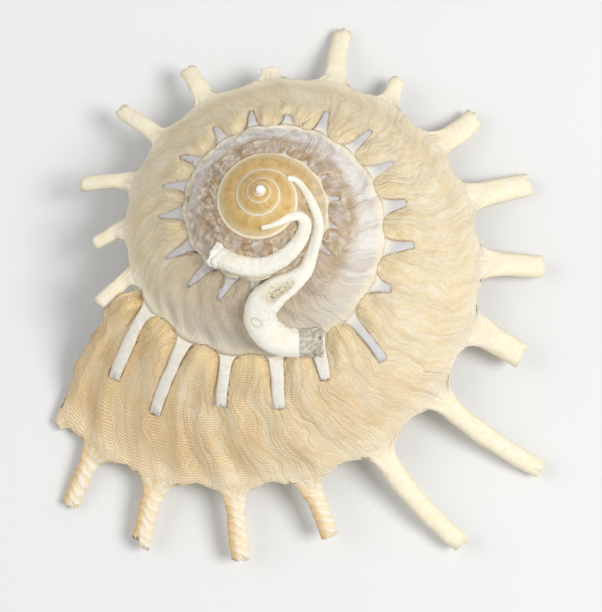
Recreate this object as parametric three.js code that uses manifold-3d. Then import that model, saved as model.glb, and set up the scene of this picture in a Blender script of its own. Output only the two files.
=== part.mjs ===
// Sunburst carrier shell with two limy worm tubes grown on its spire.
// Millimetres, +Z up. The shell rests mouth down with its apex on top.
import * as THREE from 'three';
import { mergeVertices } from 'three/addons/utils/BufferGeometryUtils.js';
import Module from 'manifold-3d';

const wasm = await Module();
wasm.setup();
const { Manifold, Mesh } = wasm;

const rad = THREE.MathUtils.degToRad;

// Growth spiral: everything scales with the flange radius reached at a growth angle.
const FLANGE_RADIUS = 31.0;
const GROWTH_PER_RADIAN = 0.0968;
const FULL_TURN = 2 * Math.PI;
const LIP_ANGLE = rad(338);

// The flange spreads wider close to the lip.
const FLARE = 0.065;
const FLARE_FROM = rad(270);
const FLARE_TO = rad(312);
const FLARE_INNER = 0.8;

// Section of one whorl in flange radii: distance from the axis, height, growth lag in degrees.
const WHORL_TOP = [
  [0.50, -0.468, 0],
  [0.60, -0.528, 0],
  [0.70, -0.592, 0],
  [0.80, -0.680, -3],
  [0.88, -0.770, -6],
  [0.95, -0.852, -10],
  [1.00, -0.890, -12],
];
const WHORL_BASE = [
  [0.985, -0.920, -12],
  [0.88, -0.888, -16],
  [0.74, -0.902, -24],
  [0.50, -0.905, -36],
  [0.28, -0.880, -43],
  [0.15, -0.825, -45],
  [0.09, -0.700, -40],
];
const WHORL_CORE = [
  [0.07, -0.33, 0],
  [0.30, -0.38, 0],
];
const WHORL_SECTION = [...WHORL_CORE, ...WHORL_TOP, ...WHORL_BASE];

// Hollow behind the mouth, same units; it runs back inside the last whorl.
const HOLLOW_SECTION = [
  [0.30, -0.640, 0],
  [0.46, -0.625, 0],
  [0.58, -0.590, 0],
  [0.70, -0.635, 0],
  [0.80, -0.720, -3],
  [0.87, -0.800, -7],
  [0.885, -0.836, -12],
  [0.78, -0.862, -22],
  [0.50, -0.868, -36],
  [0.31, -0.845, -43],
  [0.25, -0.770, -41],
];
const HOLLOW_LENGTH = rad(150);
const HOLLOW_OVERRUN = rad(8);
const HOLLOW_STEPS = 18;

// Steps of growth in each whorl, from the last whorl inwards.
const WHORL_STEPS = [48, 32, 20, 14, 10, 8];
const APEX_RADIUS = 1.35;
const APEX_HEIGHT = -1.5;
const PILLAR = { top: 0.3, bottom: 3.4, from: -1.2, to: -14.5 };
const ROUND_SIDES = 12;
const APEX_RINGS = 8;

// Free spines: growth angle, yaw towards growth, length, root width, tip width, sideways bend.
const SPINES = [
  [314, -17, 12.8, 8.3, 3.5, 0],
  [298, -11, 14.2, 9.3, 3.8, 0],
  [280.5, -15, 14.6, 7.8, 3.8, 0],
  [263, -16, 12.3, 8.3, 3.8, 0],
  [243.5, -16, 25.7, 8.8, 4.1, 1.2],
  [223.5, -10, 26.1, 8.8, 4, 1],
  [203, 5, 11.5, 9.3, 5.4, 0],
  [185, -6.5, 12.9, 8.3, 4.8, 0],
  [165.5, -4, 13.5, 7.8, 5, 0],
  [146.5, -7.5, 10.7, 7, 4.7, 0.6],
  [127, -23, 6.3, 6.4, 3.6, 0],
  [108.5, -13, 13.5, 6.8, 3.9, -0.4],
  [87, -1.5, 2.5, 6.8, 4.2, 0],
  [64, -4, 9.3, 6, 3.9, 0],
  [42.5, -3.5, 12.1, 6, 3.5, 0],
  [22.5, -19, 11.8, 6.4, 3.2, 0],
  [3.5, -27, 7.1, 6.6, 2.8, 0],
  [-16.5, -19, 9, 6.6, 2.8, 0],
];
const BLADE_ACROSS = [1, 0.5, -0.5, -1, -0.5, 0.5];
const BLADE_LIFT = [0, 1, 1, 0, -1, -1];
const SPINE_DROOP = rad(17);
const SPINE_THICKNESS = 0.62;
const SPINE_THICKENING = 0.1;
const SPINE_ROOT_INSET = 3.0;
const SPINE_ROOT_RISE = 1.0;
const SPINE_ROOT_DEPTH = 0.8;
const SPINE_TAPER = [0, 0.22, 0.5, 1];
const SPINE_NARROWING = [1, 0.5, 0.2, 0];
const TIP_SOCKET_DEPTH = 2.4;
const TIP_SOCKET = 0.5;
const TIP_SOCKET_TAPER = 0.7;
const SHORTEST_OPEN_SPINE = 5.0;

// Spines of the whorl before, laid down on the last whorl: angle, yaw, length, root width, tip width.
const LAID_SPINES = [
  [-31.5, -24, 15.6, 6.6, 2.3],
  [-52.5, -7, 15.5, 6.0, 2.3],
  [-71.5, -9, 9.7, 5.2, 2.3],
  [-92.5, 1, 9.8, 5.0, 2.3],
  [-111, 7, 7.3, 4.6, 1.9],
  [-129.5, -2, 10.2, 5.0, 1.7],
  [-147, -30, 3.6, 5.0, 1.2],
  [-166, -30, 6.2, 4.6, 1.2],
  [-186.5, -18, 5.1, 4.6, 1.2],
  [-206, -11, 6.2, 4.4, 1.2],
  [-222.5, -12, 8.1, 3.6, 1.2],
  [-241, -20, 6.6, 3.6, 1.2],
  [-259, -25, 2.8, 3.6, 1.2],
  [-280.5, 1, 5.0, 3.6, 1.2],
  [-300, 2, 4.6, 4.0, 1.2],
  [-319.5, -17, 5.0, 3.6, 1.2],
  [-338.5, -11, 5.6, 3.6, 1.2],
];
const LAID_RELIEF = 0.7;
const LAID_ROOT_INSET = 1.6;
const LAID_STEPS = 3;

// Worm tubes: plan position of the centre line from the apex, and tube width.
const LONG_TUBE = [
  [4.9, 3.8, 1.0],
  [6.6, 3.4, 1.2],
  [8.2, 1.5, 1.5],
  [9.5, -0.9, 1.8],
  [10.4, -3.2, 2.0],
  [10.4, -5.5, 2.2],
  [9.7, -8.0, 2.4],
  [8.8, -10.6, 2.7],
  [7.6, -13.0, 3.2],
  [5.2, -15.0, 4.2],
  [2.2, -16.8, 5.3],
  [-0.3, -18.8, 6.0],
  [-1.2, -21.1, 6.3],
  [-0.2, -23.3, 6.3],
  [2.3, -24.6, 6.1],
  [5.1, -24.9, 5.8],
  [7.8, -24.7, 5.5],
  [10.2, -24.6, 5.4],
];
const SHORT_TUBE = [
  [0.1, -6.4, 0.9],
  [1.8, -6.0, 1.0],
  [3.5, -5.3, 1.3],
  [5.2, -4.3, 1.7],
  [6.9, -3.7, 2.0],
  [8.0, -4.5, 2.4],
  [8.0, -6.1, 2.7],
  [7.0, -8.1, 2.9],
  [5.4, -9.9, 3.2],
  [3.3, -11.5, 3.5],
  [0.7, -12.5, 3.7],
  [-2.2, -12.7, 3.9],
  [-5.2, -12.0, 4.0],
  [-7.9, -10.9, 4.1],
  [-10.0, -9.9, 4.3],
];
const TUBE_RIDE = 0.30;
const TUBE_SIDES = 8;
const TUBE_STEPS = 22;
const TUBE_GAP = 0.34;
const GAP_SHIFTS = [[0, 0, 1.3], [0.9, -0.7, 0.6], [-0.6, -0.9, 0.6]];
const TUBE_BORE = 0.55;
const TUBE_BORE_TAPER = 0.8;
const TUBE_BORE_DEPTH = 5.0;

// The shell stands on its spine tips, so its axis leans from upright towards this heading.
const REST_LEAN = rad(7.5);
const REST_HEADING = rad(84.4);

const SHELL_COLOUR = 0xe9d6ae;
const TUBE_COLOUR = 0xf2eee2;
const ROUGHNESS = 0.7;

const MERGE_DISTANCE = 1e-4;

// ---------- spiral ----------

function flangeRadius(angle) {
  return FLANGE_RADIUS * Math.exp(GROWTH_PER_RADIAN * angle);
}

function flared(r, angle) {
  const along = THREE.MathUtils.smoothstep(angle, FLARE_FROM, FLARE_TO);
  const across = THREE.MathUtils.smoothstep(r, FLARE_INNER, 1);
  return r * (1 + FLARE * along * across);
}

function onSpiral(r, height, angle) {
  const radius = flangeRadius(angle);
  const reach = flared(r, angle) * radius;
  return new THREE.Vector3(-reach * Math.cos(angle), reach * Math.sin(angle), height * radius);
}

function outward(angle) {
  return new THREE.Vector3(-Math.cos(angle), Math.sin(angle), 0);
}

function forward(angle) {
  return new THREE.Vector3(Math.sin(angle), Math.cos(angle), 0);
}

function topHeight(r) {
  let i = 1;
  while (i < WHORL_TOP.length - 1 && WHORL_TOP[i][0] < r) i += 1;
  const [r0, h0] = WHORL_TOP[i - 1];
  const [r1, h1] = WHORL_TOP[i];
  return THREE.MathUtils.mapLinear(THREE.MathUtils.clamp(r, r0, r1), r0, r1, h0, h1);
}

// Height of the whorls under a plan position measured from the apex.
function spireHeight(x, y) {
  const reach = Math.hypot(x, y);
  let angle = Math.atan2(y, -x) - WHORL_STEPS.length * FULL_TURN;
  while (flangeRadius(angle) < reach) angle += FULL_TURN;
  const radius = flangeRadius(angle);
  return radius * topHeight(reach / radius);
}

// ---------- solids ----------

function solid(points, faces) {
  const build = (list) => new Manifold(new Mesh({
    numProp: 3,
    vertProperties: new Float32Array(points.flatMap((p) => [p.x, p.y, p.z])),
    triVerts: new Uint32Array(list.flat()),
  }));
  const body = build(faces);
  return body.volume() > 0 ? body : build(faces.map(([a, b, c]) => [a, c, b]));
}

// Closed body through rings of equal length; each end is filled with the given triangles.
function loft(rings, capFaces) {
  const count = rings[0].length;
  const faces = [];
  for (let i = 0; i + 1 < rings.length; i += 1) {
    for (let j = 0; j < count; j += 1) {
      const a = i * count + j;
      const b = i * count + ((j + 1) % count);
      faces.push([a, b, b + count], [a, b + count, a + count]);
    }
  }
  const last = (rings.length - 1) * count;
  for (const [a, b, c] of capFaces) {
    faces.push([a, c, b], [last + a, last + b, last + c]);
  }
  return solid(rings.flat(), faces);
}

// Triangles filling a section outline, each turned the same way as the outline.
function sectionCap(section) {
  const outline = section.map(([r, height]) => new THREE.Vector2(r, height));
  const turned = THREE.ShapeUtils.isClockWise(outline);
  return THREE.ShapeUtils.triangulateShape(outline, []).map(([a, b, c]) => {
    const same = THREE.ShapeUtils.isClockWise([outline[a], outline[b], outline[c]]) === turned;
    return same ? [a, b, c] : [a, c, b];
  });
}

function fanCap(count) {
  const faces = [];
  for (let i = 1; i + 1 < count; i += 1) faces.push([0, i, i + 1]);
  return faces;
}

function whorl(section, from, to, steps) {
  const rings = [];
  for (let i = 0; i <= steps; i += 1) {
    const growth = THREE.MathUtils.lerp(from, to, i / steps);
    rings.push(section.map(([r, height, lag]) => onSpiral(r, height, growth + rad(lag))));
  }
  return loft(rings, sectionCap(section));
}

// One of three's primitives as a solid, moved to its place.
function placed(geometry, matrix) {
  geometry.deleteAttribute('normal');
  geometry.deleteAttribute('uv');
  const joined = mergeVertices(geometry.applyMatrix4(matrix), MERGE_DISTANCE);
  const position = joined.getAttribute('position');
  const points = [];
  for (let i = 0; i < position.count; i += 1) {
    points.push(new THREE.Vector3().fromBufferAttribute(position, i));
  }
  const faces = [];
  for (let i = 0; i < joined.index.count; i += 3) {
    faces.push([0, 1, 2].map((n) => joined.index.getX(i + n)));
  }
  return solid(points, faces);
}

// Flattened six-sided ring across a spine or strip.
function bladeRing(centre, side, up, width, thickness) {
  return BLADE_ACROSS.map((across, i) => centre.clone()
    .addScaledVector(side, (across * width) / 2)
    .addScaledVector(up, (BLADE_LIFT[i] * thickness) / 2));
}

// Level direction of a spine that is turned from outward towards growth.
function spinePlan(growth, yaw) {
  return outward(growth)
    .multiplyScalar(Math.cos(yaw))
    .addScaledVector(forward(growth), Math.sin(yaw));
}

function freeSpine([angle, yaw, length, rootWidth, tipWidth, bend]) {
  const growth = rad(angle);
  const root = onSpiral(1, (WHORL_TOP.at(-1)[1] + WHORL_BASE[0][1]) / 2, growth);
  const plan = spinePlan(growth, rad(yaw));
  const along = plan.clone().multiplyScalar(Math.cos(SPINE_DROOP));
  along.z = -Math.sin(SPINE_DROOP);
  const side = new THREE.Vector3(plan.y, -plan.x, 0);
  const up = new THREE.Vector3().crossVectors(side, along);
  const centreAt = (t) => root.clone().addScaledVector(along, length * t)
    .addScaledVector(side, bend * 4 * t * (1 - t));
  const buried = root.clone().addScaledVector(plan, -SPINE_ROOT_INSET);
  buried.z += SPINE_ROOT_RISE;
  const rings = [bladeRing(buried, side, up, rootWidth, SPINE_ROOT_DEPTH)];
  SPINE_TAPER.forEach((t, i) => {
    const width = tipWidth + (rootWidth - tipWidth) * SPINE_NARROWING[i];
    const thickness = tipWidth * (SPINE_THICKNESS + SPINE_THICKENING * t);
    rings.push(bladeRing(centreAt(t), side, up, width, thickness));
  });
  if (length > SHORTEST_OPEN_SPINE) {
    const bottom = 1 - TIP_SOCKET_DEPTH / length;
    const mouth = tipWidth * TIP_SOCKET;
    const end = mouth * TIP_SOCKET_TAPER;
    rings.push(bladeRing(centreAt(1), side, up, mouth, mouth * SPINE_THICKNESS));
    rings.push(bladeRing(centreAt(bottom), side, up, end, end * SPINE_THICKNESS));
  }
  return loft(rings, fanCap(BLADE_ACROSS.length));
}

function laidSpine([angle, yaw, length, rootWidth, tipWidth]) {
  const growth = rad(angle);
  const root = onSpiral(1, 0, growth);
  const plan = spinePlan(growth, rad(yaw));
  const side = new THREE.Vector3(plan.y, -plan.x, 0);
  const up = new THREE.Vector3(0, 0, 1);
  const rings = [];
  for (let i = 0; i <= LAID_STEPS; i += 1) {
    const t = i / LAID_STEPS;
    const reach = length * t * Math.cos(SPINE_DROOP) + LAID_ROOT_INSET * (1 - t);
    const centre = root.clone().addScaledVector(plan, reach);
    centre.z = spireHeight(centre.x, centre.y);
    const width = tipWidth + (rootWidth - tipWidth) * (1 - t) ** 2;
    rings.push(bladeRing(centre, side, up, width, 2 * LAID_RELIEF));
  }
  return loft(rings, fanCap(BLADE_ACROSS.length));
}

// Drops the slivers a cut can leave behind.
function largestPiece(body) {
  return body.decompose().sort((a, b) => b.volume() - a.volume())[0];
}

// ---------- shell ----------

function shellBody() {
  let body = null;
  WHORL_STEPS.forEach((steps, i) => {
    const part = whorl(WHORL_SECTION, LIP_ANGLE - FULL_TURN * (i + 1), LIP_ANGLE - FULL_TURN * i, steps);
    body = body ? body.add(part) : part;
  });
  const pillarLength = PILLAR.from - PILLAR.to;
  const pillar = new THREE.CylinderGeometry(PILLAR.top, PILLAR.bottom, pillarLength, ROUND_SIDES);
  const upright = new THREE.Matrix4().makeRotationX(Math.PI / 2);
  upright.setPosition(0, 0, (PILLAR.from + PILLAR.to) / 2);
  const apex = new THREE.SphereGeometry(APEX_RADIUS, ROUND_SIDES, APEX_RINGS);
  return body
    .add(placed(pillar, upright))
    .add(placed(apex, new THREE.Matrix4().makeTranslation(0, 0, APEX_HEIGHT)));
}

function shell() {
  let body = shellBody();
  for (const spine of LAID_SPINES) body = body.add(laidSpine(spine));
  for (const spine of SPINES) body = body.add(freeSpine(spine));
  const start = LIP_ANGLE - HOLLOW_LENGTH;
  const hollow = whorl(HOLLOW_SECTION, start, LIP_ANGLE + HOLLOW_OVERRUN, HOLLOW_STEPS);
  return largestPiece(body.subtract(hollow));
}

// ---------- worm tubes ----------

function tubePath(stations) {
  return new THREE.CatmullRomCurve3(stations.map(([x, y, width]) => new THREE.Vector3(
    x, y, spireHeight(x, y) + width * TUBE_RIDE,
  )), false, 'centripetal');
}

function tubeRing(curve, stations, t, scale) {
  const centre = curve.getPoint(t);
  const along = curve.getTangent(t);
  const side = new THREE.Vector3(along.y, -along.x, 0).normalize();
  const up = new THREE.Vector3().crossVectors(side, along);
  const at = t * (stations.length - 1);
  const i = Math.min(Math.floor(at), stations.length - 2);
  const width = THREE.MathUtils.lerp(stations[i][2], stations[i + 1][2], at - i) * scale;
  const ring = [];
  for (let j = 0; j < TUBE_SIDES; j += 1) {
    const turn = (FULL_TURN * j) / TUBE_SIDES;
    ring.push(centre.clone()
      .addScaledVector(side, (Math.cos(turn) * width) / 2)
      .addScaledVector(up, (Math.sin(turn) * width) / 2));
  }
  return ring;
}

function wormTube(stations) {
  const curve = tubePath(stations);
  const rings = [];
  for (let i = 0; i <= TUBE_STEPS; i += 1) {
    rings.push(tubeRing(curve, stations, i / TUBE_STEPS, 1));
  }
  const boreStart = 1 - TUBE_BORE_DEPTH / curve.getLength();
  rings.push(tubeRing(curve, stations, 1, TUBE_BORE));
  rings.push(tubeRing(curve, stations, boreStart, TUBE_BORE * TUBE_BORE_TAPER));
  return loft(rings, fanCap(TUBE_SIDES));
}

// Cut a tube clear of what it lies on, leaving the joint gap.
function clearOf(tube, bed) {
  let left = tube;
  for (const shift of GAP_SHIFTS) {
    left = left.subtract(bed.translate(shift.map((n) => n * TUBE_GAP)));
  }
  return largestPiece(left);
}

// ---------- assembly ----------

function meshOf(body, name, colour) {
  const data = body.getMesh();
  const geometry = new THREE.BufferGeometry();
  const points = new Float32Array(data.vertProperties);
  geometry.setAttribute('position', new THREE.BufferAttribute(points, 3));
  geometry.setIndex(new THREE.BufferAttribute(new Uint32Array(data.triVerts), 1));
  const finish = new THREE.MeshStandardMaterial({ color: colour, roughness: ROUGHNESS });
  const mesh = new THREE.Mesh(geometry, finish);
  mesh.name = name;
  return mesh;
}

function build() {
  const shellSolid = shell();
  const longTube = clearOf(wormTube(LONG_TUBE), shellSolid);
  const shortTube = clearOf(clearOf(wormTube(SHORT_TUBE), shellSolid), longTube);
  const object = new THREE.Group();
  object.name = 'carrier_shell';
  object.add(
    meshOf(shellSolid, 'shell', SHELL_COLOUR),
    meshOf(longTube, 'worm_tube_long', TUBE_COLOUR),
    meshOf(shortTube, 'worm_tube_short', TUBE_COLOUR),
  );
  const hinge = new THREE.Vector3(-Math.sin(REST_HEADING), Math.cos(REST_HEADING), 0);
  const lean = new THREE.Matrix4().makeRotationAxis(hinge, REST_LEAN);
  for (const mesh of object.children) mesh.geometry.applyMatrix4(lean);
  const bounds = new THREE.Box3().setFromObject(object);
  const centre = bounds.getCenter(new THREE.Vector3());
  for (const mesh of object.children) mesh.geometry.translate(-centre.x, -centre.y, -bounds.min.z);
  return object;
}

export default build();
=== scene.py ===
# %% [markdown]
# # A sunburst carrier shell with worm tubes, built step by step
# The object is one snail shell that winds down from a tiny golden tip to a wide flange. The flange is drawn
# out into long hollow spines. Two chalky worm tubes have grown across the spire. The shell lies mouth down.
# This lesson rolls one flat grid into the whole winding shell, because every turn of a shell is the same
# shape again, only larger. The spines are then extruded out of its rim, and the tubes are rolled too.

# %% Tools and the measured frame
import math

import bpy
import numpy as np
from mathutils import Matrix, Vector, kdtree


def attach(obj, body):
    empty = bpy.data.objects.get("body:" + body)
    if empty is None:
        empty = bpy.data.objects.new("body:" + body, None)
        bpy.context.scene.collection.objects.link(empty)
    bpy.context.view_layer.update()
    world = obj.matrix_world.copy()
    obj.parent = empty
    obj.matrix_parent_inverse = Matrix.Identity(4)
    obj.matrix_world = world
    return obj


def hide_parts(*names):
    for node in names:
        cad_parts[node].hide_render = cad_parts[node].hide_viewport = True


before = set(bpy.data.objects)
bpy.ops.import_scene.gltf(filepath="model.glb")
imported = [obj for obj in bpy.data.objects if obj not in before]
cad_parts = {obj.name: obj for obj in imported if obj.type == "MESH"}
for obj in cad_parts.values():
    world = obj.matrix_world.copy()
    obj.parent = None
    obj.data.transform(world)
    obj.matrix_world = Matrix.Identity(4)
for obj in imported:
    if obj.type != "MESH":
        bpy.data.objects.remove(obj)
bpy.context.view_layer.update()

# %% [markdown]
# ## The growth spiral
# A shell grows by adding to its edge while it turns, so its flange follows a spiral whose radius is
# multiplied by the same factor every turn. One function turns "how far across, how high, how far grown"
# into a place. Lengths in this section are millimetres, and one matrix at the end puts them in the frame.

# %% Spiral
FLANGE_RADIUS = 31.0
GROWTH = 0.0968
TURN = 2 * math.pi
LIP = math.radians(338)
FLARE, FLARE_FROM, FLARE_TO = 0.065, math.radians(270), math.radians(312)
REST_LEAN, REST_HEADING = math.radians(7.5), math.radians(84.4)
APEX_BALL, APEX_BALL_HEIGHT = 1.35, -1.5


def smooth(x, low, high):
    t = np.clip((np.asarray(x, float) - low) / (high - low), 0, 1)
    return t * t * (3 - 2 * t)


def flange_radius(angle):
    return FLANGE_RADIUS * np.exp(GROWTH * np.asarray(angle, float))


def on_spiral(across, height, angle):
    radius = flange_radius(angle)
    reach = across * radius * (1 + FLARE * smooth(angle, FLARE_FROM, FLARE_TO) * smooth(across, 0.8, 1))
    return np.stack([-reach * np.cos(angle), reach * np.sin(angle), height * radius], -1)


shell_top = max((v.co for v in bpy.data.objects["shell"].data.vertices), key=lambda co: co.z)
lean = Matrix.Rotation(REST_LEAN, 4, (-math.sin(REST_HEADING), math.cos(REST_HEADING), 0))
ball_centre = shell_top - Vector((0, 0, APEX_BALL / 1000))
apex = ball_centre - lean @ Vector((0, 0, APEX_BALL_HEIGHT / 1000))
TO_FRAME = Matrix.Translation(apex) @ lean @ Matrix.Scale(0.001, 4)
print("apex at", [round(c * 1000, 1) for c in apex], "mm")
print("last flange radius", round(float(flange_radius(LIP)), 1), "mm")

# %% [markdown]
# ## The section of a whorl
# Cut a whorl open and its outline runs from the seam, over the shoulder to the flange edge, back under the
# base and up the pillar. The outline is a handful of points in flange radii, rounded by a smooth curve.
# The third number is the growth lag in degrees: the edge of the mouth slants, so points far from the seam
# were laid down a little later in the turn than points beside it.

# %% Section outlines
TOP = [(0.50, -0.468, 0), (0.545, -0.494, 0), (0.60, -0.524, 0), (0.70, -0.588, 0), (0.80, -0.676, -3),
       (0.88, -0.766, -6), (0.95, -0.850, -10), (1.00, -0.892, -12)]
RIM = [(1.00, -0.892, -12), (1.004, -0.901, -12), (1.001, -0.911, -12), (0.99, -0.918, -12)]
BASE = [(0.99, -0.918, -12), (0.88, -0.888, -16), (0.74, -0.902, -24), (0.50, -0.905, -36),
        (0.28, -0.880, -43), (0.15, -0.825, -45), (0.09, -0.700, -40)]
PILLAR = [(0.09, -0.700, -40), (0.07, -0.33, 0), (0.30, -0.38, 0), (0.50, -0.468, 0)]
HOLLOW_TOP = [(0.46, -0.625, 0), (0.58, -0.590, 0), (0.70, -0.632, 0), (0.80, -0.716, -3),
              (0.87, -0.796, -6.5), (0.925, -0.858, -10)]
HOLLOW_RIM = [(0.925, -0.858, -10), (0.927, -0.862, -11), (0.924, -0.866, -12), (0.915, -0.868, -12)]
HOLLOW_BASE = [(0.915, -0.868, -12), (0.78, -0.866, -20), (0.50, -0.870, -36), (0.31, -0.845, -43)]
HOLLOW_PILLAR = [(0.31, -0.845, -43), (0.25, -0.76, -41), (0.30, -0.640, -10), (0.46, -0.625, 0)]
COLUMNS = {"top": 46, "rim": 3, "base": 14, "pillar": 5}
RIM_HEIGHT = -0.904
COVERED = math.exp(-GROWTH * TURN)


def rounded(points, steps, curved=True):
    """Points along a smooth curve through a short list, evenly spaced."""
    p = np.array(points, float)
    if curved and len(p) > 2:
        q = np.vstack([2 * p[0] - p[1], p, 2 * p[-1] - p[-2]])
        t = np.linspace(0, 1, 12, endpoint=False)[:, None]
        parts = []
        for a, b, c, d in zip(q, q[1:], q[2:], q[3:]):
            parts.append(0.5 * (2 * b + (c - a) * t + (2 * a - 5 * b + 4 * c - d) * t**2
                                + (3 * b - a - 3 * c + d) * t**3))
        p = np.vstack(parts + [q[-2:-1]])
    length = np.concatenate([[0], np.cumsum(np.linalg.norm(np.diff(p[:, :2], axis=0), axis=1))])
    at = np.linspace(0, length[-1], steps + 1)
    return np.stack([np.interp(at, length, p[:, k]) for k in range(3)], -1)


def section(top, rim, base, pillar):
    runs = [rounded(top, COLUMNS["top"]), rounded(rim, COLUMNS["rim"]), rounded(base, COLUMNS["base"]),
            rounded(pillar, COLUMNS["pillar"], False)]
    return np.vstack([runs[0]] + [run[1:] for run in runs[1:]])


OUTER = section(TOP, RIM, BASE, PILLAR)
INNER = section(HOLLOW_TOP, HOLLOW_RIM, HOLLOW_BASE, HOLLOW_PILLAR)
TOP_CURVE = rounded(TOP, 200)
TOP_LAST, RIM_LAST = COLUMNS["top"], COLUMNS["top"] + COLUMNS["rim"]
print("outline points:", len(OUTER))

# %% [markdown]
# ## Where the spines are
# The animal grew one spine about every twenty degrees. On the last whorl they stand free. One turn
# earlier the next whorl grew under them, so they lie flat on it, long near the mouth and short further in.
# Each row is growth angle, yaw towards growth, length, root width, tip width and, on free ones, bend.

# %% Spine tables
FREE_SPINES = [
    (323.4, 6, 1.7, 4.4, 3.2, 0.0),
    (314, -17, 12.8, 8.3, 3.6, 0.0), (298, -11, 14.2, 9.3, 3.9, 0.3), (280.5, -15, 14.6, 7.8, 3.9, 0.0),
    (263, -16, 12.3, 8.3, 3.8, -0.3), (243.5, -16, 25.7, 8.8, 4.1, 1.2), (223.5, -10, 26.1, 8.8, 4.0, 1.0),
    (203, 5, 11.5, 9.3, 5.4, 0.0), (185, -6.5, 12.9, 8.3, 4.8, 0.0), (165.5, -4, 13.5, 7.8, 5.0, 0.0),
    (146.5, -7.5, 10.7, 7.0, 4.7, 0.6), (127, -23, 6.3, 6.4, 3.4, 0.0), (108.5, -13, 13.5, 6.8, 3.8, -0.4),
    (87, -1.5, 2.5, 6.6, 4.2, 0.0), (64, -4, 9.3, 6.0, 3.8, 0.0), (42.5, -3.5, 12.1, 6.0, 3.4, 0.0),
    (22.5, -19, 11.8, 6.4, 3.1, 0.3), (3.5, -27, 7.1, 6.4, 2.8, 0.0), (-16.5, -19, 9.0, 6.2, 2.8, 0.0)]
LAID_SPINES = [
    (-31.5, -24, 15.6, 6.6, 2.5), (-52.5, -7, 15.5, 6.2, 2.4), (-71.5, -9, 9.7, 5.6, 2.5),
    (-92.5, 1, 9.8, 5.4, 2.5), (-111, 7, 7.3, 5.0, 2.0), (-129.5, -2, 10.2, 5.4, 1.7),
    (-147, -30, 3.6, 5.0, 1.6), (-166, -30, 6.2, 4.8, 1.3), (-186.5, -18, 5.1, 4.8, 1.4),
    (-206, -11, 6.2, 4.6, 1.0), (-222.5, -12, 7.4, 4.0, 0.9), (-241, -20, 6.2, 4.0, 1.0),
    (-259, -25, 2.8, 4.0, 1.4), (-280.5, 1, 5.0, 4.0, 0.8), (-300, 2, 4.6, 4.2, 0.8),
    (-319.5, -17, 5.0, 4.0, 0.8), (-338.5, -11, 5.6, 4.0, 0.7), (-358.8, 4, 5.4, 4.2, 0.7),
    (-384, 11, 5.8, 4.4, 0.7), (-404, 10, 5.6, 4.2, 0.7), (-423, 8, 4.6, 4.0, 0.7),
    (-442, 0, 3.4, 3.4, 0.7), (-462, 0, 2.6, 3.0, 0.7), (-482, 5, 2.2, 3.0, 0.8),
    (-503, -5, 2.4, 2.8, 0.8), (-524, 5, 2.0, 2.8, 0.7), (-546, -8, 2.2, 2.6, 0.7),
    (-568, 0, 1.8, 2.4, 0.7), (-590, 6, 1.7, 2.4, 0.6), (-612, 0, 1.6, 2.2, 0.6)]
DROOP = math.radians(17)
FREE_SPREAD, LAID_SPREAD = 1.15, 1.27
LAID_LIFT, SHORT_LAID = 0.15, 8
VALLEY_DEPTH = 0.024
SPINES = FREE_SPINES + [(*row, 0.0) for row in LAID_SPINES]
FREE_COUNT = len(FREE_SPINES)
print(FREE_COUNT, "free spines and", len(LAID_SPINES), "laid down")


def top_height(across):
    return np.interp(across, TOP_CURVE[:, 0], TOP_CURVE[:, 1])


def whorl_under(x, y):
    """Growth angle and distance across of the whorl that shows at a plan position."""
    reach = np.hypot(x, y)
    angle = np.arctan2(y, -x) - 8 * TURN
    steps = np.ceil((np.log(np.maximum(reach, 0.3) / FLANGE_RADIUS) / GROWTH - angle) / TURN)
    angle = angle + TURN * steps
    return angle, reach / flange_radius(angle)


def spire_height(x, y):
    angle, across = whorl_under(x, y)
    return flange_radius(angle) * top_height(across)


# %% Spine centre lines
class SpineLine:
    """Centre line and widths of one spine, in millimetres."""

    def __init__(self, number):
        angle, yaw, self.length, self.root_width, self.tip_width, self.bend = SPINES[number]
        self.laid = number >= FREE_COUNT
        self.root_width *= LAID_SPREAD if self.laid else FREE_SPREAD
        self.angle = math.radians(angle)
        self.root = on_spiral(np.array(1.0), np.array(RIM_HEIGHT), np.array(self.angle))
        out = np.array([-math.cos(self.angle), math.sin(self.angle), 0])
        onward = np.array([math.sin(self.angle), math.cos(self.angle), 0])
        self.plan = out * math.cos(math.radians(yaw)) + onward * math.sin(math.radians(yaw))
        self.side = np.array([self.plan[1], -self.plan[0], 0])
        self.half_turn = self.root_width / 2 / float(flange_radius(self.angle))

    def centre(self, t):
        """Place at a share t of the length."""
        t = np.asarray(t, float)[..., None]
        line = self.root + self.plan * (self.length * t * math.cos(DROOP))
        line = line + self.side * (self.bend * 4 * t * (1 - t))
        if self.laid:
            line[..., 2] = spire_height(line[..., 0], line[..., 1]) + LAID_LIFT
        else:
            line[..., 2] = self.root[2] - self.length * t[..., 0] * math.sin(DROOP)
        return line

    def width(self, t):
        """A round fillet at the root, then an almost even shaft; short laid spines narrow to a point."""
        t = np.asarray(t, float)
        fillet = 2.6 + 0.16 * self.root_width if not self.laid else 0.40 * self.root_width
        near = np.clip(1 - t * self.length / min(fillet, 0.8 * self.length), 0, 1)
        shaft = self.tip_width * (1.12 - 0.12 * t)
        if self.laid and self.length < SHORT_LAID:
            shaft = self.tip_width + (self.root_width * 0.56 - self.tip_width) * (1 - t) ** 1.2
        return shaft + (self.root_width - shaft) * (1 - np.sqrt(1 - near**2))


LINES = [SpineLine(n) for n in range(len(SPINES))]
SPINE_ANGLES = np.array([line.angle for line in LINES])


def valley(angle):
    """How far the flange edge dips between two spines, as a share of its radius."""
    away = np.abs(np.asarray(angle, float)[..., None] - SPINE_ANGLES).min(-1)
    return VALLEY_DEPTH * smooth(away, 0.06, 0.17) * (1 - smooth(away, 0.3, 0.5))


print("longest spine:", max(line.length for line in LINES), "mm")

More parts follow.
